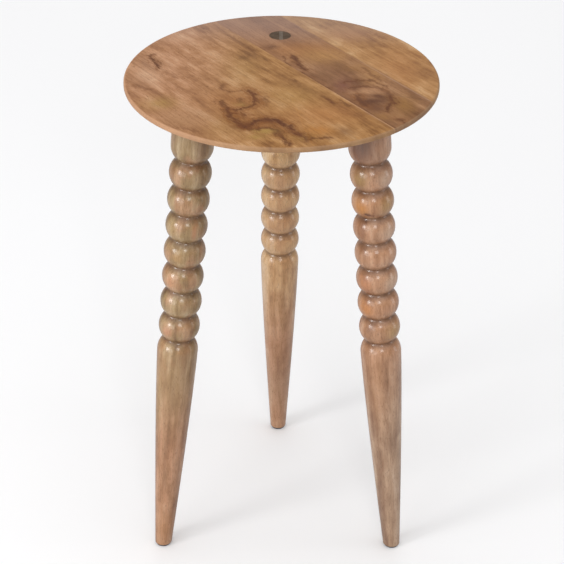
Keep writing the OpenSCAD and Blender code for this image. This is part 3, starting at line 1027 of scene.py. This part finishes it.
def build_inset(disc_material, bar_material):
    """The round metal inset and the bar let into it, flush with the top."""
    centre = (INSET_LOW + INSET_HIGH) / 2
    place = Matrix.Translation((centre.x, centre.y, INSET_LOW.z))
    radius = (INSET_HIGH.x - INSET_LOW.x) / 2 - INSET_GAP
    thick = INSET_HIGH.z - INSET_LOW.z
    bm = bmesh.new()
    edge = arc((radius - INSET_EDGE_R, thick - INSET_EDGE_R), INSET_EDGE_R, 0, 90, 4)
    lathe(bm, [(radius, 0)] + edge, INSET_STEPS)
    disc = new_piece("inset_plug", bm, disc_material, 30.0)
    bm = bmesh.new()
    half, long, floor = INSET_BAR_W / 2, radius * 2, thick - INSET_BAR_T
    low = [bm.verts.new((INSET_BAR_SIDE + x * half, y * long, floor)) for x, y in CORNERS]
    high = [bm.verts.new((INSET_BAR_SIDE + x * half, y * long, thick + MM)) for x, y in CORNERS]
    close_prism(bm, low, high)
    combine(disc, [loose_object("groove", bm)], "DIFFERENCE")
    disc.data.transform(place)

    bm = bmesh.new()
    half -= 0.05 * MM
    reach = radius - 0.1 * MM
    crown, ease = thick - 0.05 * MM, 0.25 * MM
    left, right = INSET_BAR_SIDE - half, INSET_BAR_SIDE + half
    section = [(left, floor), (left, thick - ease), (left + ease, crown),
               (right - ease, crown), (right, thick - ease), (right, floor)]
    rings = []
    for k in range(BAR_STEPS + 1):
        share = 2 * k / BAR_STEPS - 1
        rings.append([bm.verts.new((x, share * math.sqrt(reach ** 2 - x * x), z)) for x, z in section])
    join_rings(bm, rings, len(section))
    bar = new_piece("inset_cross_bar", bm, bar_material, 30.0)
    bar.data.transform(place)
    for piece, node in ((disc, "inset_disc"), (bar, "inset_bar")):
        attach(piece, "table")
        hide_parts(node)


# ---------- light, floor and camera ----------

def make_camera():
    """A long lens where the photo's camera was, fitted to the top's ellipse and the three feet."""
    data = bpy.data.cameras.new("camera")
    data.lens = 107.88
    data.sensor_width = 36
    camera = bpy.data.objects.new("camera", data)
    camera.location = (-0.00436, -1.7170, 1.3855)
    pan = Matrix.Rotation(math.radians(-0.237), 4, "Z")
    tilt = Matrix.Rotation(math.radians(90 - 31.520), 4, "X")
    roll = Matrix.Rotation(math.radians(0.588), 4, "Z")
    camera.rotation_euler = (pan @ tilt @ roll).to_euler()
    bpy.context.scene.collection.objects.link(camera)
    bpy.context.scene.camera = camera


def make_floor():
    """A wide pale studio floor. From below it doesn't show, so that the underside can be seen."""
    material, wire, shader = new_material("studio_floor")
    place = wire.place()
    soft = wire.noise(place, 0.8, 2.0, 0.5)
    seen = wire.put("ShaderNodeLightPath").outputs["Is Camera Ray"]
    pale = wire.mix(soft, linear(244, 244, 245), linear(246, 246, 247))
    wire.feed(shader.inputs["Base Color"], wire.mix(seen, linear(196, 196, 198), pale))
    shader.inputs["Roughness"].default_value = 0.9
    shader.inputs["Specular IOR Level"].default_value = 0.0
    below = wire.put("ShaderNodeNewGeometry").outputs["Backfacing"]
    clear = wire.put("ShaderNodeBsdfTransparent").outputs[0]
    both = wire.put("ShaderNodeMixShader", {"Fac": below, 1: shader.outputs[0], 2: clear}).outputs[0]
    wire.feed(material.node_tree.nodes["Material Output"].inputs["Surface"], both)
    bm = bmesh.new()
    bmesh.ops.create_grid(bm, x_segments=4, y_segments=4, size=30)
    floor = new_piece("floor", bm, material)


def make_light(name, towards, distance, size, power):
    """A soft rectangular light that faces the middle of the table from the given direction."""
    middle = Vector((0, 0, TABLE_H / 2))
    data = bpy.data.lights.new(name, "AREA")
    data.shape = "RECTANGLE"
    data.size, data.size_y = size
    data.energy = power
    light = bpy.data.objects.new(name, data)
    direction = Vector(towards).normalized()
    light.location = middle + direction * distance
    light.rotation_euler = direction.to_track_quat("Z", "Y").to_euler()
    light.visible_camera = False
    bpy.context.scene.collection.objects.link(light)


def make_studio():
    """A dome that is bright overhead and dim near the horizon, and a few soft lights."""
    world = bpy.data.worlds.new("studio")
    bpy.context.scene.world = world
    world.use_nodes = True
    wire = Wiring(world.node_tree)
    background = world.node_tree.nodes["Background"]
    ray = wire.put("ShaderNodeTexCoord").outputs["Generated"]
    height = wire.parts(ray)[2]
    dome = wire.span(height, 0.45, 0.85, 0.20, 1.28, smooth=True)
    seen = wire.put("ShaderNodeLightPath").outputs["Is Camera Ray"]
    strength = wire.add(wire.times(dome, wire.math("SUBTRACT", 1.0, seen)), wire.times(seen, 0.94))
    wire.feed(background.inputs["Color"], (1.0, 1.0, 1.0, 1.0))
    wire.feed(background.inputs["Strength"], strength)
    make_light("key_left", (-0.817, -0.494, 0.297), 3.2, (0.8, 0.8), 23)
    make_light("key_soft", (-0.70, -0.72, 0.25), 3.4, (2.4, 1.6), 34)
    make_light("front_right", (0.08, -0.857, 0.515), 3.2, (0.8, 0.8), 19)
    make_light("fill_right", (1.0, -0.05, 0.10), 3.2, (0.9, 1.8), 13)
    make_light("back_strip", (0.0, 2.675, 1.35), 2.95, (2.2, 0.45), 6)
    bpy.context.scene.view_settings.view_transform = "Standard"


# ---------- everything in place ----------

make_camera()
make_floor()
make_studio()

for index in range(len(BOARDS)):
    build_board(index, board_material(index))
black_steel = painted_material()
bright_steel = steel_material("bright_plated_steel", linear(206, 204, 196), 0.22)
felt = felt_material()
build_inset(steel_material("aged_metal", linear(108, 90, 74), 0.55, linear(120, 104, 88)),
            steel_material("worn_metal", linear(132, 118, 104), 0.5, linear(150, 138, 124)))
for name in LEGS:
    build_leg(name, leg_material(name))
    build_plate(name, black_steel)
    build_screws(name, bright_steel)
    build_bolt(name, bright_steel)
    build_pad(name, felt)
